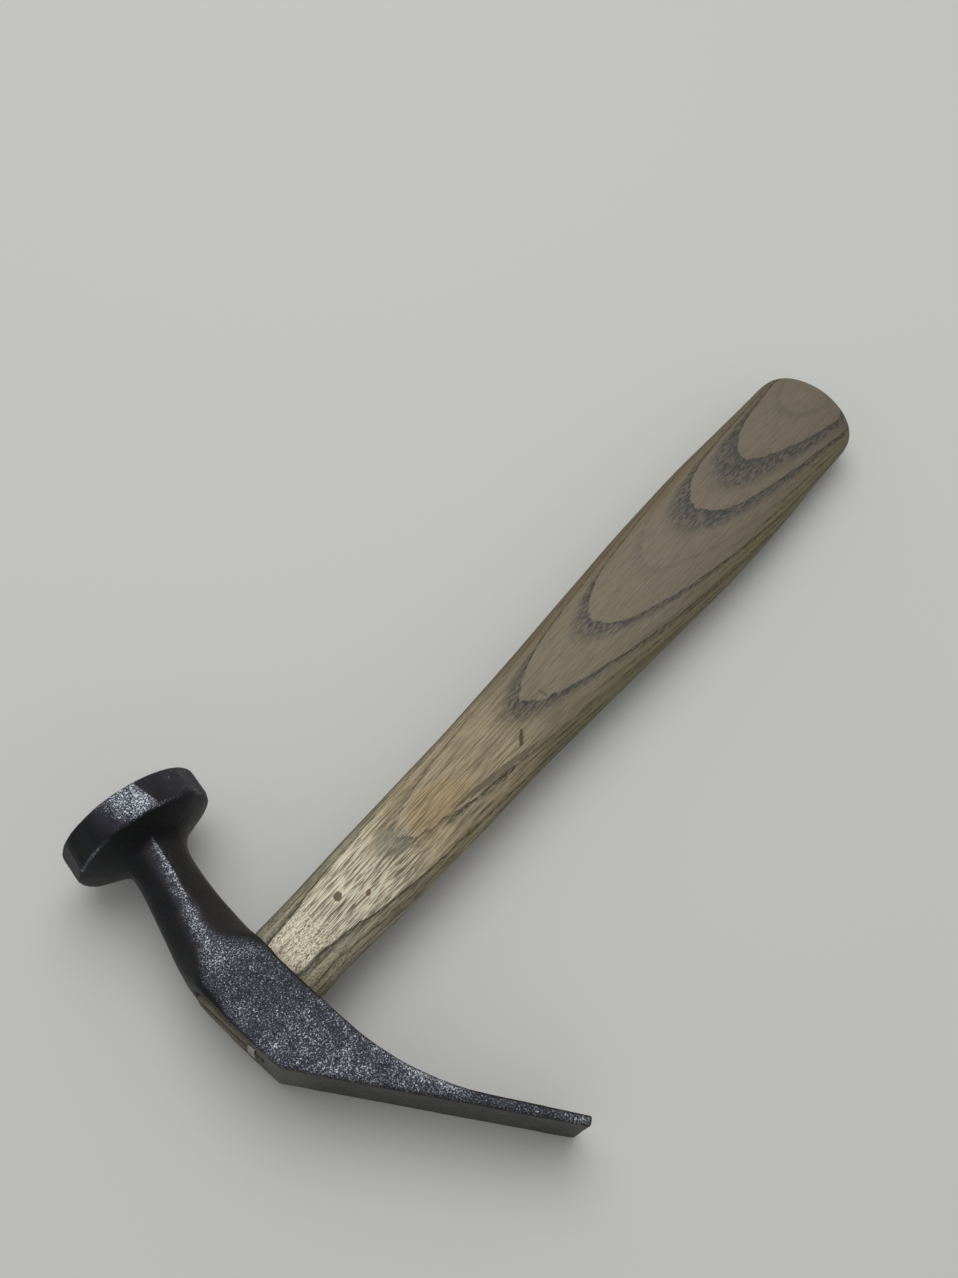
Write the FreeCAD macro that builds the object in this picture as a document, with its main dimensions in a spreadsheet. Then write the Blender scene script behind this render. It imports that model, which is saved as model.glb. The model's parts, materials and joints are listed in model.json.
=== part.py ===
import FreeCAD, Part
import math
import os
from types import SimpleNamespace

import Sketcher

# A shoemaker's hammer, lying on a table as it does when it is put down.
#
# Every piece is drawn in the hammer's own frame: the origin is the middle of the eye, +X runs along the
# handle to its butt, +Y points to the striking disc, and z = 0 is the plane of symmetry. One placement then
# lays the finished hammer on the table, z = 0, with the middle of its footprint over the origin.

SIZES = {
    # Block and peen of the head
    "head_width": 20.5,
    "outer_face": 9.5,
    "inner_face": 8.0,
    "block_top": 9.5,
    "lean_start": 1.0,
    "corner_drop": 15.7,
    "corner_radius": 3.0,
    "bend_drop": 37.6,
    "bend_radius": 70.0,
    "peen_forward": 26.6,
    "peen_drop": 75.3,
    "tip_thickness": 2.5,
    "arris": 0.4,
    # Neck: its outer and inner sides, thickness and side facets, from the top of the block to the disc
    "root_inner": 9.4,
    "throat_height": 17.5,
    "throat_outer": 7.9,
    "throat_inner": 10.5,
    "throat_thickness": 18.8,
    "throat_side": 6.0,
    "throat_ridge_shift": 1.3,
    "waist_height": 28.0,
    "waist_outer": 4.15,
    "waist_inner": 11.9,
    "waist_thickness": 16.6,
    "waist_side": 5.0,
    "foot_width": 15.2,
    "ridge_width": 4.0,
    # Striking disc
    "disc_height": 53.7,
    "disc_offset": 10.65,
    "disc_tilt": 11.5,
    "disc_radius": 18.0,
    "rim_thickness": 8.0,
    "rim_bevel": 0.5,
    "face_crown": 1.0,
    "cone_radius": 10.5,
    "cone_depth": 3.4,
    "flare_radius": 7.0,
    "flare_depth": 5.5,
    "flare_foot": 6.7,
    # Eye, drifted from both sides so that it is narrowest in the middle
    "eye_mouth_at": 10.5,
    "eye_mouth_height": 22.0,
    "eye_mouth_width": 14.0,
    "eye_waist_height": 19.8,
    "eye_waist_width": 12.2,
    "eye_outer_height": 21.6,
    "eye_outer_width": 13.6,
    # Handle
    "handle_reach": 237.2,
    "shank_at": 62.0,
    "shank_width": 24.0,
    "shank_thickness": 16.8,
    "shank_bow": 0.45,
    "swell_at": 185.0,
    "swell_width": 33.0,
    "swell_thickness": 21.6,
    "swell_bow": 0.35,
    "butt_length": 12.2,
    "butt_width": 31.2,
    "butt_thickness": 20.4,
    "tenon_proud": 0.3,
    # Wedges
    "wood_wedge_length": 14.0,
    "wood_wedge_thickness": 3.2,
    "wood_wedge_edge": 0.9,
    "wood_wedge_width": 18.0,
    "steel_wedge_length": 11.0,
    "steel_wedge_thickness": 2.2,
    "steel_wedge_edge": 0.5,
    "steel_wedge_width": 8.4,
    "steel_wedge_drop": 7.2,
    "fit_gap": 0.05,
}

# The end of the handle is rounded like a quarter of a superellipse with this exponent, through these angles.
BUTT_ROUNDNESS = 3.2
BUTT_ANGLES = (28, 50, 68, 80)

# How close a point must be to count as the one looked for, and how finely a surface is sampled, in mm.
SAME_PLACE = 0.01
SAMPLING = 0.02

# Turns of the search for the three points that the hammer rests on. It settles after three or four.
RESTING_TURNS = 8


class Dim:
    """A length or angle, together with the expression that ties it to the sheet."""

    def __init__(self, number, text):
        self.number = number
        self.text = text

    def __add__(self, other):
        other = dim(other)
        return Dim(self.number + other.number, f"({self.text} + {other.text})")

    def __sub__(self, other):
        other = dim(other)
        return Dim(self.number - other.number, f"({self.text} - {other.text})")

    def __mul__(self, other):
        other = dim(other)
        return Dim(self.number * other.number, f"{self.text} * {other.text}")

    def __truediv__(self, other):
        other = dim(other)
        return Dim(self.number / other.number, f"{self.text} / {other.text}")

    def __neg__(self):
        return Dim(-self.number, f"(-{self.text})")

    def root(self):
        return Dim(math.sqrt(self.number), f"sqrt({self.text})")

    def tangent(self):
        return Dim(math.tan(math.radians(self.number)), f"tan({self.text})")


def dim(value):
    return value if isinstance(value, Dim) else Dim(float(value), f"{value:.6g}")


def between(start, end, share):
    """The size a plain share of the way from one size to another."""
    return start + (end - start) * share


def eased(share):
    """A share that starts and ends level, as a hand-shaped swelling does."""
    return share * share * (3 - 2 * share)


doc = FreeCAD.newDocument("shoemakers_hammer")
sheet = doc.addObject("Spreadsheet::Sheet", "Sizes")
for row, (alias, value) in enumerate(SIZES.items(), start=1):
    sheet.set(f"A{row}", alias.replace("_", " "))
    sheet.set(f"B{row}", str(value))
    sheet.setAlias(f"B{row}", alias)
doc.recompute()

size = SimpleNamespace(**{alias: Dim(float(value), f"Sizes.{alias}") for alias, value in SIZES.items()})


def new_body(name):
    body = doc.addObject("PartDesign::Body", name)
    body.Label = name
    return body


def new_sketch(body, name, plane, offset=None):
    """A sketch on one of the body's own planes, moved along the plane's normal by the offset."""
    sketch = body.newObject("Sketcher::SketchObject", name)
    base = next(item for item in body.Origin.OriginFeatures if item.Role == plane)
    sketch.AttachmentSupport = [(base, "")]
    sketch.MapMode = "FlatFace"
    if offset is not None:
        sketch.setExpression("AttachmentOffset.Base.z", offset.text)
    return sketch


def pin_down(sketch, edge, end, x, y):
    """Tie one end of an edge to its two coordinates."""
    for kind, coordinate in (("DistanceX", x), ("DistanceY", y)):
        index = sketch.addConstraint(Sketcher.Constraint(kind, -1, 1, edge, end, coordinate.number))
        sketch.setExpression(f"Constraints[{index}]", coordinate.text)


def draw_outline(sketch, corners, arcs=None):
    """A closed outline through the corners. arcs maps the number of an edge to the radius of its arc, which
    is negative where the outline turns clockwise along it."""
    arcs = arcs or {}
    corners = [(dim(x), dim(y)) for x, y in corners]
    ends = []
    for index, start in enumerate(corners):
        finish = corners[(index + 1) % len(corners)]
        a = FreeCAD.Vector(start[0].number, start[1].number, 0)
        b = FreeCAD.Vector(finish[0].number, finish[1].number, 0)
        if index not in arcs:
            sketch.addGeometry(Part.LineSegment(a, b))
            ends.append((1, 2))
            continue
        radius = abs(arcs[index].number)
        turn = 1 if arcs[index].number > 0 else -1
        chord = b - a
        rise = math.sqrt(radius**2 - (chord.Length / 2) ** 2)
        left = FreeCAD.Vector(-chord.y, chord.x, 0).normalize()
        centre = (a + b) / 2 + left * rise * turn
        first, last = (a, b) if turn > 0 else (b, a)
        circle = Part.Circle(centre, FreeCAD.Vector(0, 0, 1), radius)
        first_angle = math.atan2(first.y - centre.y, first.x - centre.x)
        last_angle = math.atan2(last.y - centre.y, last.x - centre.x)
        sketch.addGeometry(Part.ArcOfCircle(circle, first_angle, last_angle))
        bend = sketch.addConstraint(Sketcher.Constraint("Radius", index, radius))
        sketch.setExpression(f"Constraints[{bend}]", (arcs[index] if turn > 0 else -arcs[index]).text)
        ends.append((1, 2) if turn > 0 else (2, 1))
    for index, (x, y) in enumerate(corners):
        before = index - 1 if index else len(corners) - 1
        here, there = ends[index][0], ends[before][1]
        sketch.addConstraint(Sketcher.Constraint("Coincident", before, there, index, here))
        pin_down(sketch, index, here, x, y)


def draw_oval(sketch, height, width, middle=dim(0)):
    """An ellipse with its height, and its middle, along the sketch's first axis."""
    across = FreeCAD.Vector(height.number / 2, 0, 0)
    upward = FreeCAD.Vector(0, width.number / 2, 0)
    centre = FreeCAD.Vector(middle.number, 0, 0)
    sketch.addGeometry(Part.Ellipse(centre + across, centre + upward, centre))
    sketch.exposeInternalGeometry(0)
    pin_down(sketch, 0, 3, middle, dim(0))
    sketch.addConstraint(Sketcher.Constraint("Horizontal", 1))
    for line, length in ((1, height), (2, width)):
        index = sketch.addConstraint(Sketcher.Constraint("Distance", line, length.number))
        sketch.setExpression(f"Constraints[{index}]", length.text)


def pad(body, name, sketch, length):
    """The outline thickened by half of the length to each side of its plane."""
    feature = body.newObject("PartDesign::Pad", name)
    feature.Profile = sketch
    feature.SideType = "Symmetric"
    feature.setExpression("Length", length.text)
    sketch.Visibility = False
    return feature


def slot(body, name, sketch, length):
    """The outline cut out to half of the length on each side of its plane."""
    feature = body.newObject("PartDesign::Pocket", name)
    feature.Profile = sketch
    feature.SideType = "Symmetric"
    feature.setExpression("Length", length.text)
    doc.recompute()
    return feature


def loft(body, kind, name, sections, ruled):
    feature = body.newObject(kind, name)
    feature.Profile = sections[0]
    feature.Sections = sections[1:]
    feature.Ruled = ruled
    doc.recompute()
    return feature


def dress(body, kind, name, radius, base, picks):
    """A fillet or chamfer of one radius along the picked edges of the base feature."""
    feature = body.newObject(kind, name)
    names = [f"Edge{number}" for number, edge in enumerate(base.Shape.Edges, start=1) if picks(edge)]
    feature.Base = (base, names)
    feature.setExpression("Radius" if kind.endswith("Fillet") else "Size", radius.text)
    doc.recompute()
    return feature


def upright_at(x, y):
    """Picks the edge that runs square to the plane of symmetry through this point of it."""

    def picks(edge):
        ends = [vertex.Point for vertex in edge.Vertexes]
        return all(math.hypot(end.x - x.number, end.y - y.number) < SAME_PLACE for end in ends)

    return picks


def block_and_peen(head):
    """The side outline of the block and the peen, forged to one width, with its bends and arrises."""
    run = size.peen_forward + size.outer_face
    fall = size.peen_drop - size.corner_drop
    slope = (run * run + fall * fall).root()
    tip_outer = (size.peen_forward, -size.peen_drop)
    tip_inner = (
        size.peen_forward + size.tip_thickness * fall / slope,
        -size.peen_drop + size.tip_thickness * run / slope,
    )
    outline = new_sketch(head, "side_outline", "XY_Plane")
    draw_outline(
        outline,
        [
            (-size.outer_face, size.block_top),
            (-size.outer_face, -size.corner_drop),
            tip_outer,
            tip_inner,
            (size.inner_face, -size.bend_drop),
            (size.inner_face, size.lean_start),
            (size.root_inner, size.block_top),
        ],
    )
    slab = pad(head, "side_slab", outline, size.head_width)
    doc.recompute()
    inner_bend = upright_at(size.inner_face, -size.bend_drop)
    bent = dress(head, "PartDesign::Fillet", "inner_bend", size.bend_radius, slab, inner_bend)
    outer_corner = upright_at(-size.outer_face, -size.corner_drop)
    rounded = dress(head, "PartDesign::Fillet", "outer_corner", size.corner_radius, bent, outer_corner)

    def cheek_arris(edge):
        middle = edge.valueAt((edge.FirstParameter + edge.LastParameter) / 2)
        on_cheek = abs(abs(middle.z) - size.head_width.number / 2) < SAME_PLACE
        along_top = middle.y > size.block_top.number - SAME_PLACE
        along_tip = middle.y < -size.peen_drop.number + size.tip_thickness.number
        return on_cheek and not along_top and not along_tip

    dress(head, "PartDesign::Chamfer", "cheek_arrises", size.arris, rounded, cheek_arris)


def neck_section(head, name, height, outer, inner, thickness, side, ridge, ridge_shift):
    """An eight-sided section of the neck: two side facets, two ridges and the four flanks between them."""
    sketch = new_sketch(head, name, "XZ_Plane", -height)
    middle = (outer + inner) / 2 - ridge_shift
    draw_outline(
        sketch,
        [
            (outer, side / 2),
            (outer, -side / 2),
            (middle - ridge / 2, -thickness / 2),
            (middle + ridge / 2, -thickness / 2),
            (inner, -side / 2),
            (inner, side / 2),
            (middle + ridge / 2, thickness / 2),
            (middle - ridge / 2, thickness / 2),
        ],
    )
    return sketch


def neck(head):
    """The neck grows out of the top of the block and leans over to the axis of the disc."""
    cut = size.arris * 2
    width = size.outer_face + size.root_inner
    foot_drop = size.rim_thickness + size.cone_depth
    foot_middle = size.disc_offset - foot_drop * size.disc_tilt.tangent()
    sections = [
        neck_section(
            head,
            "neck_root",
            size.block_top,
            -size.outer_face,
            size.root_inner,
            size.head_width,
            size.head_width - cut,
            width - cut,
            dim(0),
        ),
        neck_section(
            head,
            "neck_throat",
            size.throat_height,
            -size.throat_outer,
            size.throat_inner,
            size.throat_thickness,
            size.throat_side,
            size.ridge_width,
            size.throat_ridge_shift,
        ),
        neck_section(
            head,
            "neck_waist",
            size.waist_height,
            -size.waist_outer,
            size.waist_inner,
            size.waist_thickness,
            size.waist_side,
            size.ridge_width,
            dim(0),
        ),
        neck_section(
            head,
            "neck_foot",
            size.disc_height - foot_drop,
            foot_middle - size.foot_width / 2,
            foot_middle + size.foot_width / 2,
            size.waist_thickness,
            size.waist_side,
            size.ridge_width,
            dim(0),
        ),
    ]
    loft(head, "PartDesign::AdditiveLoft", "neck", sections, ruled=False)


def striking_disc(head):
    """A crowned disc with a conical back that flares into the neck, turned about its own tilted axis."""
    profile = new_sketch(head, "disc_profile", "XY_Plane")
    profile.setExpression("AttachmentOffset.Base.x", size.disc_offset.text)
    profile.setExpression("AttachmentOffset.Base.y", size.disc_height.text)
    profile.setExpression("AttachmentOffset.Rotation.Angle", (-size.disc_tilt).text)
    back = -size.rim_thickness
    cone_end = back - size.cone_depth
    flare_end = cone_end - size.flare_depth
    face_radius = size.disc_radius - size.rim_bevel
    crown_radius = (face_radius * face_radius / size.face_crown + size.face_crown) / 2
    draw_outline(
        profile,
        [
            (0, flare_end),
            (size.flare_foot, flare_end),
            (size.cone_radius, cone_end),
            (face_radius, back),
            (size.disc_radius, back + size.rim_bevel),
            (size.disc_radius, -size.rim_bevel),
            (face_radius, 0),
            (0, size.face_crown),
        ],
        arcs={1: -size.flare_radius, 6: crown_radius},
    )
    turned = head.newObject("PartDesign::Revolution", "disc")
    turned.Profile = profile
    turned.ReferenceAxis = (profile, ["V_Axis"])
    turned.Angle = 360
    doc.recompute()


def eye(head):
    """The hole for the handle, an oval that narrows from both faces of the block to its waist."""
    sections = []
    for name, place, height, width in (
        ("eye_outer", -size.outer_face, size.eye_outer_height, size.eye_outer_width),
        ("eye_waist", dim(0), size.eye_waist_height, size.eye_waist_width),
        ("eye_mouth", size.eye_mouth_at, size.eye_mouth_height, size.eye_mouth_width),
    ):
        section = new_sketch(head, name, "YZ_Plane", place)
        draw_oval(section, height, width)
        sections.append(section)
    before = head.Shape.Volume
    loft(head, "PartDesign::SubtractiveLoft", "eye", sections, ruled=True)
    if head.Shape.Volume >= before:
        raise RuntimeError("the eye cuts nothing")


def make_head():
    head = new_body("head")
    block_and_peen(head)
    neck(head)
    striking_disc(head)
    eye(head)
    return head


def wedge_outline(sketch, start, length, thickness, edge, middle):
    """A long taper from its thick end at the start to its driven edge."""
    corners = [
        (start, middle - thickness / 2),
        (start + length, middle - edge / 2),
        (start + length, middle + edge / 2),
        (start, middle + thickness / 2),
    ]
    draw_outline(sketch, corners)


def tenon(handle):
    """The part of the handle inside the eye, spread by the wedges until it fills both tapers."""
    gap = size.fit_gap * 2
    sections = []
    for name, place, height, width in (
        ("tenon_end", -size.outer_face - size.tenon_proud, size.eye_outer_height, size.eye_outer_width),
        ("tenon_waist", dim(0), size.eye_waist_height, size.eye_waist_width),
        ("tenon_root", size.eye_mouth_at, size.eye_mouth_height, size.eye_mouth_width),
    ):
        section = new_sketch(handle, name, "YZ_Plane", place)
        draw_oval(section, height - gap, width - gap)
        sections.append(section)
    loft(handle, "PartDesign::AdditiveLoft", "tenon", sections, ruled=True)


def grip(handle):
    """The shaped length of the handle: a slim shank, a swell for the hand and a rounded butt. The shank and
    the swell bow a little to the peen's side, as the stick grew."""
    gap = size.fit_gap * 2
    root_at = size.eye_mouth_at
    butt_at = size.handle_reach - size.butt_length
    root = (size.eye_mouth_height - gap, size.eye_mouth_width - gap, dim(0))
    shank = (size.shank_width, size.shank_thickness, -size.shank_bow)
    swell = (size.swell_width, size.swell_thickness, -size.swell_bow)
    butt = (size.butt_width, size.butt_thickness, dim(0))
    stations = []
    for near, near_size, far, far_size, shares in (
        (root_at, root, size.shank_at, shank, (0, 0.5)),
        (size.shank_at, shank, size.swell_at, swell, (0, 0.25, 0.5, 0.75)),
        (size.swell_at, swell, butt_at, butt, (0, 0.5, 1)),
    ):
        for share in shares:
            oval = [between(n, f, eased(share)) for n, f in zip(near_size, far_size)]
            stations.append((between(near, far, share), *oval))
    power = 2 / BUTT_ROUNDNESS
    last = math.sin(math.radians(BUTT_ANGLES[-1])) ** power
    for angle in BUTT_ANGLES:
        reach = math.sin(math.radians(angle)) ** power / last
        girth = math.cos(math.radians(angle)) ** power
        stations.append((butt_at + size.butt_length * reach, butt[0] * girth, butt[1] * girth, dim(0)))
    sections = []
    for number, (place, width, thickness, middle) in enumerate(stations, start=1):
        section = new_sketch(handle, f"grip_section_{number}", "YZ_Plane", place)
        draw_oval(section, width, thickness, middle)
        sections.append(section)
    loft(handle, "PartDesign::AdditiveLoft", "grip", sections, ruled=False)


def make_handle(outer_end):
    handle = new_body("handle")
    tenon(handle)
    grip(handle)
    gap = size.fit_gap * 2
    kerf = new_sketch(handle, "kerf_outline", "XZ_Plane")
    wedge_outline(
        kerf,
        outer_end,
        size.wood_wedge_length + size.fit_gap,
        size.wood_wedge_thickness + gap,
        size.wood_wedge_edge + gap,
        dim(0),
    )
    slot(handle, "kerf", kerf, size.eye_outer_height)
    cleft = new_sketch(handle, "cleft_outline", "XY_Plane")
    wedge_outline(
        cleft,
        outer_end,
        size.steel_wedge_length + size.fit_gap,
        size.steel_wedge_thickness + gap,
        size.steel_wedge_edge + gap,
        -size.steel_wedge_drop,
    )
    slot(handle, "cleft", cleft, size.steel_wedge_width + gap)
    return handle


def make_wooden_wedge(outer_end):
    wedge = new_body("wooden_wedge")
    taper = new_sketch(wedge, "taper", "XZ_Plane")
    wedge_outline(
        taper,
        outer_end,
        size.wood_wedge_length,
        size.wood_wedge_thickness,
        size.wood_wedge_edge,
        dim(0),
    )
    pad(wedge, "wedge", taper, size.wood_wedge_width)
    doc.recompute()
    gap = size.fit_gap * 2
    split = new_sketch(wedge, "split_outline", "XY_Plane")
    wedge_outline(
        split,
        outer_end,
        size.steel_wedge_length + size.fit_gap,
        size.steel_wedge_thickness + gap,
        size.steel_wedge_edge + gap,
        -size.steel_wedge_drop,
    )
    slot(wedge, "split", split, size.steel_wedge_width + gap)
    return wedge


def make_steel_wedge(outer_end):
    wedge = new_body("steel_wedge")
    taper = new_sketch(wedge, "taper", "XY_Plane")
    wedge_outline(
        taper,
        outer_end,
        size.steel_wedge_length,
        size.steel_wedge_thickness,
        size.steel_wedge_edge,
        -size.steel_wedge_drop,
    )
    pad(wedge, "wedge", taper, size.steel_wedge_width)
    doc.recompute()
    return wedge


def resting_points(shape, low_y, high_y, low_x):
    """Points of the shape's surface in the given stretch of the hammer."""
    points, _ = shape.tessellate(SAMPLING)
    return [point for point in points if low_y < point.y < high_y and point.x > low_x]


def lay_down(pieces):
    """Rest the hammer on the rim of its disc, the corner of its peen and the swell of its handle."""
    head, handle = pieces[0].Shape, pieces[1].Shape
    far = size.handle_reach.number
    supports = [
        resting_points(head, size.waist_height.number, far, -far),
        resting_points(head, -far, -size.bend_drop.number, -far),
        resting_points(handle, -far, far, size.shank_at.number),
    ]
    upward = FreeCAD.Vector(0, 0, 1)
    for _ in range(RESTING_TURNS):
        disc_point, peen_point, handle_point = (min(group, key=upward.dot) for group in supports)
        upward = (handle_point - peen_point).cross(disc_point - peen_point).normalize()
    forward = FreeCAD.Vector(1, 0, 0)
    forward = (forward - upward * upward.dot(forward)).normalize()
    across = upward.cross(forward)
    turn = FreeCAD.Matrix()
    turn.A11, turn.A12, turn.A13 = forward.x, forward.y, forward.z
    turn.A21, turn.A22, turn.A23 = across.x, across.y, across.z
    turn.A31, turn.A32, turn.A33 = upward.x, upward.y, upward.z
    turned = FreeCAD.Placement(turn)
    box = FreeCAD.BoundBox()
    for piece in pieces:
        for point in piece.Shape.tessellate(SAMPLING)[0]:
            box.add(turned.multVec(point))
    middle = FreeCAD.Vector(box.Center.x, box.Center.y, box.ZMin)
    lying = FreeCAD.Placement(FreeCAD.Vector(-middle), turned.Rotation)
    for piece in pieces:
        piece.Placement = lying
    return lying


def check(pieces):
    for item in doc.Objects:
        if "Invalid" in item.State or "Error" in item.State:
            raise RuntimeError(f"{item.Label} failed: {item.State}")
    for piece in pieces:
        if piece.Shape.isNull() or not piece.Shape.isValid():
            raise RuntimeError(f"{piece.Label} has no valid shape")
        if len(piece.Shape.Solids) != 1:
            raise RuntimeError(f"{piece.Label} isn't one solid")


outer_end = -size.outer_face - size.tenon_proud
pieces = [make_head(), make_handle(outer_end), make_wooden_wedge(outer_end), make_steel_wedge(outer_end)]
doc.recompute()
lying = lay_down(pieces)
doc.recompute()
check(pieces)

os.makedirs("parts", exist_ok=True)
for piece in pieces:
    piece.Shape.exportStep(f"parts/{piece.Label}.step")
    box = piece.Shape.optimalBoundingBox()
    extents = f"{box.XLength:.1f} x {box.YLength:.1f} x {box.ZLength:.1f} mm"
    print(f"{piece.Label}: {piece.Shape.Volume:.1f} mm3, {extents}")
print("middle of the eye", lying.Base, "tilt", math.degrees(lying.Rotation.Angle))
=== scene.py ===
import itertools
import json
import math

import bpy
import numpy as np
from mathutils import Matrix, Vector


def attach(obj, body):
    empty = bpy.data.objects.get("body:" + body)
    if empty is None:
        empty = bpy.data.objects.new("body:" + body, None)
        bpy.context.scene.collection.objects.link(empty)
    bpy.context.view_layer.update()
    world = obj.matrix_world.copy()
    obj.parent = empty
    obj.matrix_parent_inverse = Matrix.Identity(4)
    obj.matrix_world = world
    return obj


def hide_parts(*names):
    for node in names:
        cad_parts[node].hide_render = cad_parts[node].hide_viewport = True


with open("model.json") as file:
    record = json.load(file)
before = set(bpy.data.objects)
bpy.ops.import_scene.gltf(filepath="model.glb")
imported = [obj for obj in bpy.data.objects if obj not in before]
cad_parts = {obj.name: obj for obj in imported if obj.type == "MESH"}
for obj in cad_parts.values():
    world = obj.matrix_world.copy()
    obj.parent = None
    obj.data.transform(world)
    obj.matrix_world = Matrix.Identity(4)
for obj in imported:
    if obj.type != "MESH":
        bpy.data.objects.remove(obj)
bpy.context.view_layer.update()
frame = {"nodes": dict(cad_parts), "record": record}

# The hammer lies on its side, propped on the rim of its disc, the corner of its peen and the swell of its
# handle. The flat cheeks of the block say how it leans. Each piece below is drawn in the hammer's own frame,
# from the middle of the eye, with the handle along +X and the disc towards +Y, and laid down with the rest.
MM = 0.001
CHEEK_SPOT = Vector((-0.75, -13.5, 0)) * MM
cheeks = {mount["name"]: mount for mount in frame["record"]["mounts"]}
upper, lower = (Vector(cheeks[name]["pos_m"]) for name in ("upper_cheek", "lower_cheek"))
square_up = Vector(cheeks["upper_cheek"]["axis"]).normalized()
handle_way = Vector((square_up.z, 0, -square_up.x)).normalized()
disc_way = square_up.cross(handle_way)
lean = Matrix((handle_way, disc_way, square_up)).transposed()
lying = Matrix.Translation((upper + lower) / 2 - lean @ CHEEK_SPOT) @ lean.to_4x4()
hammer_frame = bpy.data.objects.new("hammer_frame", None)
hammer_frame.matrix_world = lying
bpy.context.scene.collection.objects.link(hammer_frame)

# The camera is held in a hand over the block, with the handle running up and to the right. It looks past the
# shank, and the top of the picture points 40 degrees off the handle, towards the disc.
CAMERA_SPOT = Vector((-48.15, -53.24, 327.72)) * MM
AIM_SPOT = Vector((105.83, 22.72, 0)) * MM
TOP_OF_PICTURE = math.radians(40.24)
FOCAL_PIXELS, PICTURE_HEIGHT, FILM = 1400, 1278, 36
forward = (AIM_SPOT - CAMERA_SPOT).normalized()
picture_top = Vector((math.cos(TOP_OF_PICTURE), math.sin(TOP_OF_PICTURE), 0))
right = forward.cross(picture_top).normalized()
looking = Matrix((right, right.cross(forward), -forward)).transposed().to_4x4()
camera = bpy.data.objects.new("hand_camera", bpy.data.cameras.new("hand_camera"))
camera.data.sensor_width = FILM
camera.data.lens = FILM * FOCAL_PIXELS / PICTURE_HEIGHT
camera.data.clip_start = 0.01
camera.matrix_world = lying @ Matrix.Translation(CAMERA_SPOT) @ looking
bpy.context.scene.collection.objects.link(camera)
bpy.context.scene.camera = camera

# The head is one steel forging: a round striking disc on a leaning neck, a flat-cheeked block with the eye,
# and a bent peen that tapers to a straight edge. Hammered flats still show round the disc's rim. The fire
# left a blue-grey skin, near black on the neck, and use has rubbed it to specks of bright steel.
# Light along the neck's top, and shade on its flanks and the faces towards the handle, are painted.
HEAD_SPACING = 0.4
EVENING_ROUNDS = 3
SOFTENING_ROUNDS = 150
DISC_MIDDLE = np.array((10.65, 53.7, 0.0))
DISC_TILT = math.radians(11.5)
DISC_RADIUS, RIM_DEPTH = 18.0, 8.0

# The flats of the rim: the angle of each from straight up towards the handle, and how deep it is cut, in mm.
RIM_FLATS = (
    (0, 0.45), (32, 0.35), (60, 0.3), (92, 0.35), (126, 0.3), (158, 0.4), (189, 0.3), (221, 0.35),
    (250, 0.3), (283, 0.35), (312, 0.3), (336, 0.2),
)

# The smith's hand strayed by up to 1.2 degrees, and each flat turns a little on its way along the rim.
FLAT_STRAY = 1.2
FLAT_TWIST = 0.012

# Where hands and work rub the skin off: a spot and a second one, how far the rubbing spreads to the outer
# and the inner side of the line between them, in mm, and how strong it is. The first four strips, on the
# neck's top, paint light instead of wear: the sheen of a narrow facet that the solid lacks, and the
# highlight on its ridge.
RUBBED_AND_LIT_STRIPS = (
    ((8.3, 43), (5.8, 33), 2.9, 0.5, 0.42), ((5.8, 33), (2.8, 24), 2.4, 0.7, 0.5),
    ((8.7, 42.5), (6.1, 32.5), 0.5, 0.4, 1.2), ((6.1, 32.5), (4.4, 27), 0.5, 0.4, 0.8),
    ((2.4, 24), (-1, 15), 2.6, 2.4, 0.6), ((-3, 12), (0, 9.5), 3.2, 3.2, 0.35),
    ((7.5, -12), (8.0, -28), 2.2, 2.2, 0.5), ((8.7, -28), (13, -46), 2.2, 1.6, 1.0),
    ((13, -47), (22, -64), 1.6, 1.6, 0.5), ((-6, -12), (3, -24), 3.6, 3.6, 0.3),
    ((-4, -23), (3, -30), 2.6, 2.6, 0.6), ((3, -30), (12, -50), 2.0, 2.0, 0.2),
    ((24, -72), (28, -74), 2.4, 2.4, 0.3),
)

# Where the skin is whole, in the same way.
WHOLE_STRIPS = (
    ((16, -54), (21, -64), 2.6, 2.6, 0.9), ((3, 3), (4, -18), 2.4, 2.4, 0.4),
)

# Where the rim is rubbed: the middle, how far the rubbing spreads before and after it, in degrees, and how
# strong it is. It fades slowly before the middle and ends sharply after it, at the edge of a flat.
RIM_SHINE = ((2, 24, 7, 1.05), (38, 24, 24, 0.25), (125, 16, 16, 1.0), (240, 18, 18, 0.9))

# All unevenness of the shapes is read from one block of random numbers.
LATTICE = np.random.default_rng(11).random((32, 32, 32))


def lumps(points, size, turn=0.0):
    """Smooth unevenness from -1 to 1 at points in mm, with lumps of about this size."""
    spots = points / size + turn
    cells = np.floor(spots).astype(int)
    parts = spots - cells
    parts = parts * parts * (3 - 2 * parts)
    total = np.zeros(len(points))
    for corner in itertools.product((0, 1), repeat=3):
        weight = np.prod(np.where(corner, parts, 1 - parts), axis=1)
        total += weight * LATTICE[tuple(((cells + corner) % 32).T)]
    return 2 * total - 1


def even_skin(node, name, spacing):
    """A fine, even skin over one of the solids, in the hammer's frame, with quads of this spacing in mm."""
    rough = frame["nodes"][node].data.copy()
    rough.transform(lying.inverted())
    mould = bpy.data.objects.new(name, rough)
    bpy.context.scene.collection.objects.link(mould)
    remesh = mould.modifiers.new("even", "REMESH")
    remesh.mode = "VOXEL"
    remesh.voxel_size = spacing * MM
    skin = bpy.data.meshes.new_from_object(mould.evaluated_get(bpy.context.evaluated_depsgraph_get()))
    mould.modifiers.clear()
    mould.data = skin
    skin.name = name
    skin.materials.clear()
    skin.polygons.foreach_set("use_smooth", [True] * len(skin.polygons))
    return mould


def corners_of(skin):
    """Where the corners of a skin are, in mm."""
    points = np.zeros(len(skin.vertices) * 3)
    skin.vertices.foreach_get("co", points)
    return points.reshape(-1, 3) / MM


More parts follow.
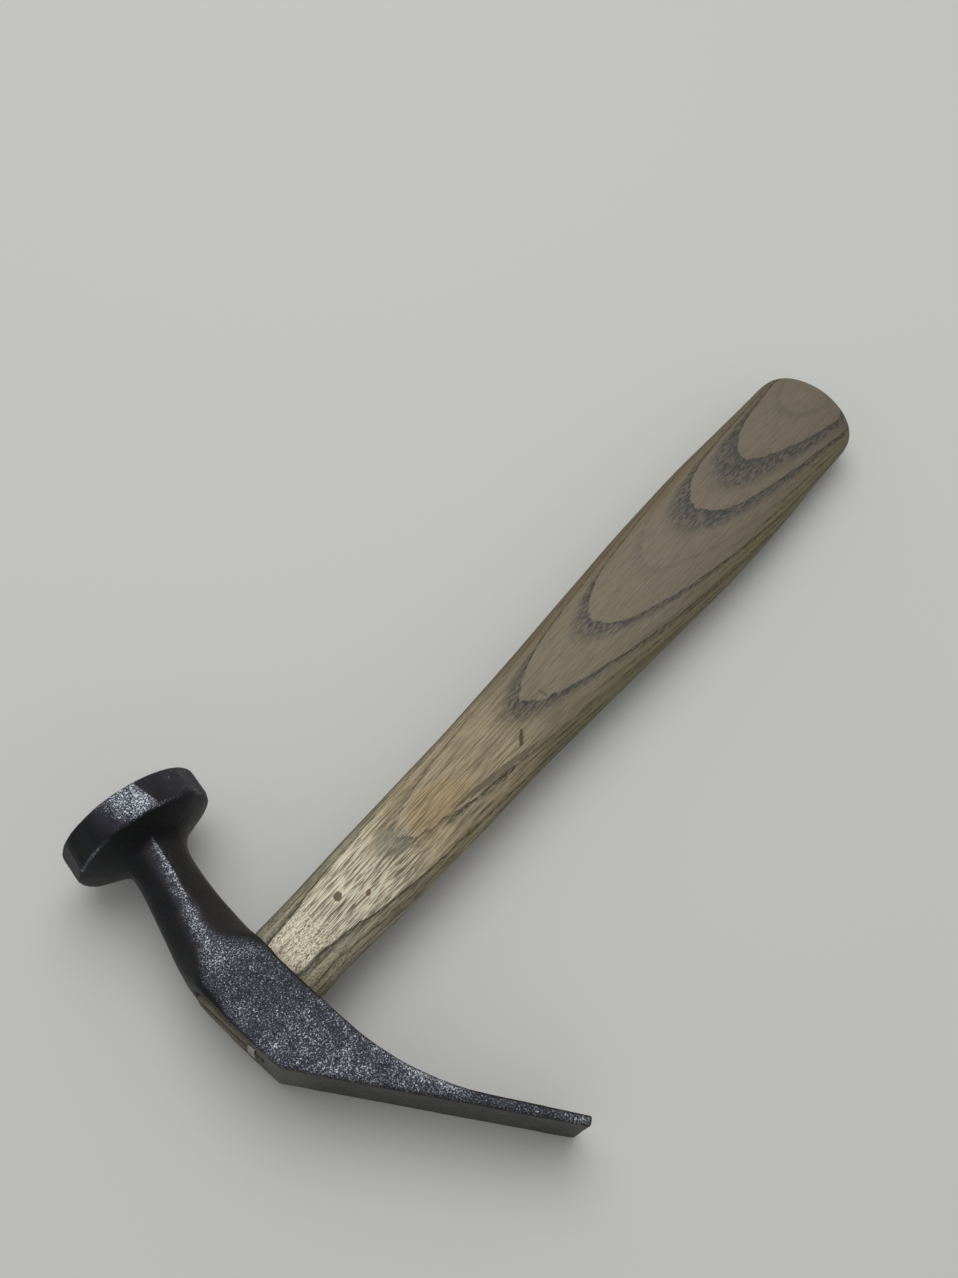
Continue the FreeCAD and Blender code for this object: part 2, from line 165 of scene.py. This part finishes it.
def outward(skin):
    """Which way the skin faces at each corner."""
    normals = np.zeros(len(skin.vertices) * 3)
    skin.vertices.foreach_get("normal", normals)
    return normals.reshape(-1, 3)


def set_corners(skin, points):
    """Moves the corners of a skin to these places, in mm."""
    skin.vertices.foreach_set("co", (points * MM).ravel())
    skin.update()


def relaxed(skin, points, rounds):
    """The corners drawn towards their neighbours this many times."""
    edges = np.zeros(len(skin.edges) * 2, int)
    skin.edges.foreach_get("vertices", edges)
    one, two = edges.reshape(-1, 2).T
    here, there = np.concatenate((one, two)), np.concatenate((two, one))
    count = np.bincount(here, minlength=len(points))
    for _ in range(rounds):
        drawn = [np.bincount(here, points[there, axis], len(points)) / count for axis in range(3)]
        points = (points + np.stack(drawn, axis=1)) / 2
    return points


def note(skin, name, values):
    """Keeps one number for each corner of the skin, for its finish to read."""
    skin.attributes.new(name, "FLOAT", "POINT").data.foreach_set("value", values.astype(np.float32))


def eased_step(values, low, high):
    """From 0 at the low value to 1 at the high one, eased at both ends, for numbers."""
    share = np.clip((values - low) / (high - low), 0, 1)
    return share * share * (3 - 2 * share)


def around_strip(points, one, two, outer, inner):
    """From 1 on the line between two spots of the side view to 0 well outside it."""
    one, two = np.array(one), np.array(two)
    along = two - one
    away = points[:, :2] - one
    share = np.clip(away @ along / (along @ along), 0, 1)
    gap = np.linalg.norm(away - share[:, None] * along, axis=1)
    spread = np.where(away[:, 0] * along[1] - away[:, 1] * along[0] > 0, outer, inner)
    return np.exp(-((gap / spread) ** 2))


head = even_skin("head", "forged_head", HEAD_SPACING)
points = relaxed(head.data, corners_of(head.data), EVENING_ROUNDS)

# The smith rounded the ridges of the whole neck, from the block up, but left the disc crisp.
soft = eased_step(points[:, 1] - 0.3 * np.maximum(points[:, 0], -5), 0.5, 8.5)
soft *= 1 - eased_step(points[:, 1], 38, 43)
points += (relaxed(head.data, points, SOFTENING_ROUNDS) - points) * soft[:, None]

# The flats are cut into the rim, from the struck face to just past the rim's back edge.
disc_axis = np.array((math.sin(DISC_TILT), math.cos(DISC_TILT), 0.0))
to_handle = np.array((math.cos(DISC_TILT), -math.sin(DISC_TILT), 0.0))
from_disc = points - DISC_MIDDLE
depth = from_disc @ disc_axis
spoke = from_disc - depth[:, None] * disc_axis
reach = np.linalg.norm(spoke, axis=1)
angle = np.arctan2(spoke @ to_handle, spoke[:, 2])
limit = np.full(len(points), DISC_RADIUS)
for turn, cut in RIM_FLATS:
    middle = math.radians(turn + FLAT_STRAY * math.sin(turn)) + FLAT_TWIST * (depth + RIM_DEPTH / 2)
    off = np.cos(angle - middle)
    limit = np.where(off > 0.5, np.minimum(limit, (DISC_RADIUS - cut) / np.maximum(off, 0.5)), limit)
on_disc = (depth > -RIM_DEPTH - 4) & (reach > 12)
limit = np.where(on_disc, limit, np.inf)
points -= spoke * (1 - np.minimum(1, limit / np.maximum(reach, 1)))[:, None]
set_corners(head.data, points)

# How far the skin is rubbed off, and how strong the painted light on the neck's top is: along the
# strips of both cheeks, on the rim and its edges, and on the whole of the struck face.
normals = outward(head.data)
faced = eased_step(abs(normals[:, 2]), 0.35, 0.8)
rubbed = np.zeros(len(points))
for one, two, outer, inner, strength in RUBBED_AND_LIT_STRIPS:
    rubbed = np.maximum(rubbed, strength * faced * around_strip(points, one, two, outer, inner))
on_rim = eased_step(reach, 16.2, 17.2) * eased_step(depth, -8.4, -7.8) * (1 - eased_step(depth, 0.0, 0.5))
bright_flat = np.degrees(angle) + 1.1 * depth
for turn, before, after, strength in RIM_SHINE:
    off = (bright_flat - turn + 180) % 360 - 180
    share = np.exp(-np.where(off > 0, (off / after) ** 8, (off / before) ** 2))
    rubbed = np.maximum(rubbed, strength * on_rim * share)
rim_edges = np.exp(-((abs(depth + 4) - 4) / 0.4) ** 2) * eased_step(reach, 16.6, 17.2)
rubbed = np.maximum(rubbed, 0.6 * rim_edges * eased_step(lumps(points, 4.0, 5.1), -0.5, 0.4))
for one, two, outer, inner, strength in WHOLE_STRIPS:
    rubbed -= strength * around_strip(points, one, two, outer, inner)
struck = eased_step(depth, -0.4, 0.0) * (reach < DISC_RADIUS)
note(head.data, "rubbed", np.maximum(rubbed, 1.1 * struck))

# Soot covers the disc and the neck's flanks. On the sideways faces of the neck and block, on every
# face towards the handle and in a band along the cheek's edge beside the wood, the same black is
# partly soot and partly painted shade. The faces towards the handle are browned below the disc.
# The outer face of the peen is ground.
beyond_left = eased_step(0.63 * points[:, 1] - 0.775 * points[:, 0], 13.2, 15.8)
beyond_right = eased_step(points[:, 0] - 0.33 * np.maximum(13 - points[:, 1], 0), 2.8, 6.4)
left_flank = eased_step(-normals[:, 0], 0.2, 0.5) * eased_step(points[:, 1], -6, 3)
right_flank = eased_step(normals[:, 0], 0.15, 0.5)
sooty = np.max((beyond_left, beyond_right, left_flank, right_flank), axis=0)
note(head.data, "sooty", sooty * (1 - struck))
note(head.data, "browned", eased_step(normals[:, 0], 0.15, 0.6) * (1 - eased_step(points[:, 1], 38, 44)))
note(head.data, "ground", eased_step(-normals[:, 0], 0.45, 0.75) * (1 - eased_step(points[:, 1], -6, 3)))

# Shallow dents, sunk so that hardly any of the skin between them rises above the solid.
dents = 0.05 * lumps(points, 5.0) + 0.03 * lumps(points, 1.7, 3.7) - 0.05
set_corners(head.data, points + normals * dents[:, None])


class Shade:
    """A value, colour or direction inside a finish. Sums on values add their Math nodes, and node() adds any
    other node: its settings come first, then what its sockets hold."""

    def __init__(self, tree, socket=None):
        self.tree = tree
        self.socket = socket

    def node(self, kind, settings=None, sockets=None, output=0):
        made = self.tree.nodes.new(kind)
        for key, value in (settings or {}).items():
            if key == "stops":
                stops = made.color_ramp.elements
                while len(stops) < len(value):
                    stops.new(1)
                for stop, (place, colour) in zip(stops, value):
                    stop.position = place
                    stop.color = colour
            else:
                setattr(made, key, value)
        for key, value in (sockets or {}).items():
            if isinstance(value, Shade):
                self.tree.links.new(value.socket, made.inputs[key])
            else:
                made.inputs[key].default_value = value
        return Shade(self.tree, made.outputs[output] if made.outputs else None)

    def math(self, operation, *values):
        return self.node("ShaderNodeMath", {"operation": operation}, dict(enumerate(values)))

    def __add__(self, other):
        return self.math("ADD", self, other)

    def __radd__(self, other):
        return self.math("ADD", other, self)

    def __sub__(self, other):
        return self.math("SUBTRACT", self, other)

    def __rsub__(self, other):
        return self.math("SUBTRACT", other, self)

    def __mul__(self, other):
        return self.math("MULTIPLY", self, other)

    def __rmul__(self, other):
        return self.math("MULTIPLY", other, self)

    def __truediv__(self, other):
        return self.math("DIVIDE", self, other)

    def __rtruediv__(self, other):
        return self.math("DIVIDE", other, self)

    def __pow__(self, other):
        return self.math("POWER", self, other)

    def __rpow__(self, other):
        return self.math("POWER", other, self)

    def __neg__(self):
        return 0 - self

    def __abs__(self):
        return self.math("ABSOLUTE", self)

    def step(self, low, high):
        """From 0 at the low value to 1 at the high one, eased at both ends."""
        limits = {"From Min": low, "From Max": high, "Value": self}
        return self.node("ShaderNodeMapRange", {"interpolation_type": "SMOOTHSTEP"}, limits)

    def noise(self, size, detail=2.0, stretch=(1, 1, 1)):
        """Cloudy unevenness from 0 to 1, with lumps of about this size in mm, longer where stretched."""
        scale = tuple(1 / (size * part) for part in stretch)
        spot = self.node("ShaderNodeVectorMath", {"operation": "MULTIPLY"}, {0: self, 1: scale})
        return self.node("ShaderNodeTexNoise", {}, {"Vector": spot, "Scale": 1.0, "Detail": detail})

    def over(self, under, colour):
        """The colour laid over another one where this mask is 1."""
        kind = {"data_type": "RGBA", "clamp_factor": True}
        return self.node("ShaderNodeMix", kind, {0: self, 6: under, 7: colour}, output=2)


def sRGB(red, green, blue):
    """A colour as a screen shows it, in steps of 255, as the light it gives off."""
    return tuple(((part / 255 + 0.055) / 1.055) ** 2.4 for part in (red, green, blue)) + (1.0,)


def new_finish(name):
    """An empty finish, and where the surface lies in the hammer's own frame, in mm."""
    finish = bpy.data.materials.new(name)
    finish.use_nodes = True
    finish.node_tree.nodes.clear()
    start = Shade(finish.node_tree)
    place = start.node("ShaderNodeTexCoord", {"object": hammer_frame}, output="Object")
    spot = start.node("ShaderNodeVectorMath", {"operation": "SCALE"}, {0: place, "Scale": 1 / MM})
    return finish, spot


def coat(spot, sockets):
    """The surface itself, with these sockets of its shader set or linked."""
    surface = spot.node("ShaderNodeBsdfPrincipled", {}, sockets)
    spot.node("ShaderNodeOutputMaterial", {}, {"Surface": surface})


steel, spot = new_finish("forged_steel")
rub_and_light, soot_and_shade, browned, ground_face = (
    spot.node("ShaderNodeAttribute", {"attribute_name": name}, {}, output="Fac")
    for name in ("rubbed", "sooty", "browned", "ground")
)

# The tone of the slate skin comes from fine grit, patches and clouds, and rubbing lifts it, as does the
# painted light on the neck's top. Black soot lies over it, in places painted shade, and pits are darker.
cloud = spot.noise(7.0, 3.0)
grit = spot.noise(0.36, 3.0)
patch = spot.noise(2.6, 3.0)
tone = 0.72 * grit + 0.13 * patch + 0.15 * cloud
burnt = tone.step(0.42, 0.58).over(sRGB(20, 22, 23), sRGB(31, 32, 35))
brown = tone.step(0.42, 0.58).over(sRGB(34, 32, 31), sRGB(48, 45, 43))
black = browned.over(burnt, brown)
# Near rubbed places the black lifts to a purple grey; on the neck's left flank this is a painted sheen.
black = (rub_and_light.step(0.0, 0.3) * 0.8).over(black, sRGB(53, 52, 60))
SLATE = (
    (0.0, (27, 28, 32)), (0.34, (41, 42, 49)), (0.53, (55, 57, 65)), (0.66, (73, 76, 84)),
    (0.80, (106, 110, 117)), (1.0, (160, 165, 170)),
)
shown = (tone + 0.09 * rub_and_light - 0.33) / 0.34
stops = [(at, sRGB(*colour)) for at, colour in SLATE]
slate = shown.node("ShaderNodeValToRGB", {"stops": stops}, {0: shown})
pits = spot.noise(0.30, 2.0).step(0.44, 0.34)
slate = (pits * 0.75).over(slate, sRGB(32, 33, 38))

# The ground face of the peen is scratched, olive near its corner, with a brown burr next to it.
scratched = spot.noise(0.7, 4.0, (2.5, 6, 1))
filed = scratched.step(0.35, 0.65).over(sRGB(38, 37, 35), sRGB(66, 65, 62))
to_disc = spot.node("ShaderNodeSeparateXYZ", {}, {0: spot}, output="Y")
olive = to_disc.step(-24, -19) * to_disc.step(-7, -12) * 0.7
burr = to_disc.step(-31, -29) * to_disc.step(-24, -26) * patch.step(0.3, 0.5) * 0.7
filed = olive.over(filed, sRGB(80, 79, 68))
filed = burr.over(filed, sRGB(38, 35, 32))
slate = (ground_face * (1 - 0.35 * shown.step(0.5, 0.9))).over(slate, filed)

# Where soot and painted shade show: not where the skin is rubbed through or painted light.
soot_and_shade_cover = soot_and_shade * (1 - (rub_and_light + 0.8 * (patch - 0.5)).step(0.25, 0.5))
bright = shown.step(0.6, 0.95) * (1 - soot_and_shade_cover)
relief = spot.node("ShaderNodeBump", {}, {
    "Strength": 0.7,
    "Distance": 0.0002,
    "Height": 0.8 * grit + 0.6 * patch - 0.4 * pits,
})
coat(spot, {
    "Base Color": soot_and_shade_cover.over(slate, black),
    "Metallic": 0.75,
    "Roughness": 0.50 - 0.12 * bright,
    "Normal": relief,
})


def lay_down(piece, slot, *nodes):
    """Puts a finished piece in its place on the table, where it stands for these solids."""
    piece.data.transform(lying)
    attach(piece, "root")
    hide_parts(*nodes)


head.data.materials.append(steel)
lay_down(head, "forged_steel", "head")

# The handle is one stick of ring-porous wood, split from the side of a log and shaved to an oval that swells
# for the hand. Its rings lie in it as nearly flat sheets and run out of the top in nested arches. Years on a
# bench have greyed it. Near the head it is bleached, and its open pores show as dark dots and dashes.
HANDLE_SPACING = 0.5

# Each ring ends in a band of open pores: how high its sheet lies at the eye and how broad the band is, in
# mm, and how dark dirt has made it.
TOP_RINGS = (
    (6.45, 0.8, 1.1), (10.24, 1.0, 0.7), (14.1, 1.05, 1.1), (17.33, 1.1, 1.1), (20.3, 0.6, 0.25),
    (23.16, 1.6, 1.3), (25.91, 2.1, 1.4), (28.4, 0.6, 0.3),
)
SIDE_RINGS = tuple((4.6 - 1.6 * turn + 0.3 * math.sin(2.3 * turn), 0.6, 0.85) for turn in range(10))
RINGS = TOP_RINGS + SIDE_RINGS
FINE_LINES_APART = 1.35


def ring_place(x, y, z):
    """How high a spot lies among the rings, in mm, for numbers and for shades. The tree was wide, so its
    rings lie in the stick as almost flat sheets, which slope down towards the butt and turn a little."""
    return z + (0.0333 + 0.00022 * x + 0.000475 * y) * x + 0.0497 * y


handle = even_skin("handle", "grey_handle", HANDLE_SPACING)
points = relaxed(handle.data, corners_of(handle.data), EVENING_ROUNDS)
set_corners(handle.data, points)
normals = outward(handle.data)
note(handle.data, "side", normals[:, 1])
note(handle.data, "top", normals[:, 2])

# Each band of pores is worn to a shallow furrow, and the shaving left the stick slightly uneven.
rings = ring_place(*points.T)
furrows = sum(dark * np.clip(1 - abs(rings - edge + 0.3) / 0.4, 0, 1) for edge, _, dark in RINGS)
shaved = 0.08 * lumps(points / (2.2, 1, 1), 7.0) - 0.10 * abs(normals[:, 0]) - 0.07 * furrows
set_corners(handle.data, points + normals * shaved[:, None])

wood, spot = new_finish("weathered_wood")
apart = spot.node("ShaderNodeSeparateXYZ", {}, {0: spot})
x, y, z = (Shade(spot.tree, apart.socket.node.outputs[axis]) for axis in range(3))
side = spot.node("ShaderNodeAttribute", {"attribute_name": "side"}, {}, output="Fac")
top = spot.node("ShaderNodeAttribute", {"attribute_name": "top"}, {}, output="Fac")
drift = spot.noise(9.0, 3.0, (2.5, 1, 1)) - 0.5
ragged = spot.noise(1.3, 4.0, (3.0, 1, 1)) - 0.5

# The rings waver a little everywhere, and more beside the ochre tongue.
wavy = abs((x - 62) / 16).step(1, 0.3) * y.step(2, -3)
ring = ring_place(x, y, z) + 0.4 * drift + (0.55 + 0.8 * wavy) * ragged - 5 * side.step(0.5, 1.0)

# Pores are cut across near the head and show as dots, and further on they lie along the wood as dashes.
dots = spot.noise(0.24, 2.0, (3, 1, 1))
dashes = dots + (spot.noise(0.30, 2.0, (22, 1, 1)) - dots) * x.step(17, 25)
streaks = spot.noise(1.1, 3.0, (14, 1, 1))
mottle = spot.noise(5.0, 3.0, (2, 1, 1))

# Between the rings of the lower side lie finer dark lines, and the ochre tongue has an inky edge.
low_side = (-side).step(0.4, 0.75)
between = ring.math("FRACT", ring / FINE_LINES_APART)
bands = between.step(0.4, 0.85) * between.step(1.0, 0.94) * low_side * streaks.step(0.25, 0.7)
bands = bands * (0.4 + 0.6 * x.step(45, 80))
for edge, width, dark in RINGS:
    rise = ring.node("ShaderNodeMapRange", {}, {"Value": ring, "From Min": edge - width, "From Max": edge})
    fall = ring.step(edge + 0.12, edge)
    band = (0.6 * rise.step(0, 0.7) + 0.4 * rise ** 6) * fall * dark
    bands = bands.math("MAXIMUM", bands, band)
ink = ((x - 71) / 15) ** 2 + ((y + 7.2) / 2.6) ** 2
bands = bands * (1 + 1.1 * ink.step(1.3, 0.3))

# The colour of the wood along the stick, by the distance from the eye in mm: the dark end of the tenon, the
# bleached wood by the head, and the greyed grip.
LENGTHWISE = (
    (-10, (58, 57, 48)), (2, (160, 152, 130)), (12, (219, 211, 187)), (40, (207, 198, 173)),
    (54, (170, 156, 126)), (84, (150, 138, 111)), (98, (121, 112, 93)), (165, (113, 103, 87)),
    (228, (104, 94, 79)), (238, (98, 90, 75)),
)
first, last = LENGTHWISE[0][0], LENGTHWISE[-1][0]
stops = [((at - first) / (last - first), sRGB(*colour)) for at, colour in LENGTHWISE]
along = (x + 14 * drift + 6 * (mottle - 0.5) - first) / (last - first)
ground = along.node("ShaderNodeValToRGB", {"stops": stops}, {0: along})

# Over it lie the greener wood beyond the first arch, the ochre tongue, and the edges: tan on the disc's side
# and dark below that, and grimy on the peen's side.
beyond_arch = ring.step(6.8, 6.2) * x.step(62, 44)
ground = (beyond_arch * (0.7 + 0.6 * (streaks - 0.5))).over(ground, sRGB(122, 118, 94))
ochre = ((x - 59) / 13) ** 2 + ((y + 1.0) / 5.5) ** 2 + 1.8 * (mottle - 0.5)
ground = (ochre.step(1.3, 0.1) * x.step(49, 54) * 0.7).over(ground, sRGB(160, 138, 98))
tan_edge = side.step(0.5, 0.8) * x.step(80, 120) * (mottle + 0.4)
ground = tan_edge.over(ground, sRGB(100, 83, 53))
under_edge = side.step(0.74, 0.96)
ground = (under_edge * 0.8).over(ground, sRGB(84, 77, 58))
grimy_edge = (-side).step(0.45, 0.85) * (0.25 + 0.65 * x.step(50, 110)) * (0.8 + streaks - 0.5)
ground = grimy_edge.over(ground, sRGB(108, 101, 66))

# The open pores show most where the wood is bleached, and dirt fills them and the bands.
fresh = x.step(60, 44) * 0.45 + x.step(110, 90) * 0.35 + 0.2
open_pores = dashes.step(0.47, 0.60) * fresh * (0.6 + 0.5 * streaks.step(0.35, 0.65))
porous = (open_pores * 0.85).over(ground, sRGB(99, 87, 68))
grey_tip = top.step(0.80, 0.95)
dirt = grey_tip.over(sRGB(50, 43, 30), sRGB(56, 55, 56))
blots = spot.noise(0.45, 2.0, (5, 1, 1)).step(0.42, 0.58)
banded = (bands * (0.5 + 0.7 * blots)).over(porous, dirt)
threads = spot.noise(0.38, 2.0, (26, 1, 1)).step(0.48, 0.64) * 0.5
thready = (streaks.step(0.42, 0.72) * 0.2 + threads) * (1 - 0.55 * x.step(92, 112))
streaky = thready.over(banded, sRGB(80, 70, 52))

# Marks in the top of the wood: colour, middle, half length and half width in mm, turn, and strength. They
# are two nicks near the head, a cut and a scratch by the third arch, the smear along the ochre tongue, and
# the haze at its tip.
MARKS = (
    ((58, 48, 34), (28.0, 1.6), 1.3, 1.1, 0.6, 0.85),
    ((96, 62, 38), (33.5, -3.1), 0.9, 0.65, 0.3, 0.85),
    ((62, 52, 38), (88.2, -4.8), 2.4, 0.65, 0.66, 0.85),
    ((78, 70, 58), (101.3, -1.0), 0.5, 1.5, 0.15, 0.6),
    ((62, 54, 46), (77.0, -6.4), 15.0, 0.9, -0.15, 0.6),
    ((116, 114, 99), (46.0, 1.4), 5.0, 3.4, 0.1, 0.42),
)
marked = streaky
for colour, middle, length, width, turn, strength in MARKS:
    dx, dy = x - middle[0], y - middle[1]
    cos, sin = math.cos(turn), math.sin(turn)
    far = ((dx * cos + dy * sin) / length) ** 2 + ((dy * cos - dx * sin) / width) ** 2
    ragged_edge = far + 1.3 * (spot.noise(0.8, 3.0) - 0.5)
    marked = (ragged_edge.step(1.15, 0.55) * z.step(0, 2) * strength).over(marked, sRGB(*colour))

height = dashes.step(0.47, 0.62) * -0.7 - bands * 0.5 + 0.35 * streaks
relief = spot.node("ShaderNodeBump", {}, {"Strength": 0.55, "Distance": 0.00025, "Height": height})
coat(spot, {"Base Color": marked, "Roughness": 0.72 + 0.12 * (1 - x.step(60, 140)), "Normal": relief})
handle.data.materials.append(wood)
lay_down(handle, "weathered_wood", "handle")

# A hardwood wedge spreads the tenon in the eye. It is driven into a kerf sawn along the tenon, and only its
# end shows, a reddish strip of end grain.
WOODEN_WEDGE_SPACING = 0.2
wooden_wedge = even_skin("wooden_wedge", "hardwood_wedge", WOODEN_WEDGE_SPACING)
wedge_wood, spot = new_finish("wedge_wood")
pores = spot.noise(0.3, 2.0).step(0.5, 0.65)
reddish = spot.noise(1.5, 3.0).step(0.35, 0.65).over(sRGB(96, 79, 70), sRGB(72, 66, 54))
coat(spot, {"Base Color": (pores * 0.7).over(reddish, sRGB(50, 42, 34)), "Roughness": 0.8})
wooden_wedge.data.materials.append(wedge_wood)
lay_down(wooden_wedge, "wedge_wood", "wooden_wedge")

# A small steel wedge was driven across the first one, through the tenon, to spread it the other way. Its end
# is still bright from the hammer.
STEEL_WEDGE_SPACING = 0.15
steel_wedge = even_skin("steel_wedge", "driven_wedge", STEEL_WEDGE_SPACING)
wedge_steel, spot = new_finish("wedge_steel")
beaten = spot.noise(0.6, 3.0)
coat(spot, {
    "Base Color": beaten.step(0.35, 0.65).over(sRGB(120, 116, 112), sRGB(186, 184, 180)),
    "Metallic": 0.9,
    "Roughness": 0.25 + 0.3 * beaten,
})
steel_wedge.data.materials.append(wedge_steel)
lay_down(steel_wedge, "wedge_steel", "steel_wedge")

# The table under the hammer is plain and pale. The light is soft: an even room, and one wide lamp at its
# ceiling, over the side of the disc and the butt. Places and sizes are in metres.
TABLE_SIZE = 12.0
ROOM_LIGHT = 0.56
LAMP_SIZE, LAMP_POWER = 1.0, 6.1
LAMP_PLACE = (0.20, 0.30, 0.98)
bpy.ops.mesh.primitive_plane_add(size=TABLE_SIZE)
table = bpy.context.object
table.name = "table"
paper, spot = new_finish("pale_table")
coat(spot, {"Base Color": sRGB(190, 190, 187), "Roughness": 0.7})
table.data.materials.append(paper)

world = bpy.data.worlds.new("room")
world.use_nodes = True
world.node_tree.nodes["Background"].inputs["Strength"].default_value = ROOM_LIGHT
world.node_tree.nodes["Background"].inputs["Color"].default_value = (1, 1, 1, 1)
bpy.context.scene.world = world
lamp = bpy.data.objects.new("ceiling", bpy.data.lights.new("ceiling", "AREA"))
lamp.data.shape = "DISK"
lamp.data.size = LAMP_SIZE
lamp.data.energy = LAMP_POWER
lamp.location = LAMP_PLACE
lamp.rotation_euler = (-lamp.location).to_track_quat("-Z", "Y").to_euler()
bpy.context.scene.collection.objects.link(lamp)

bpy.context.scene.view_settings.view_transform = "Standard"
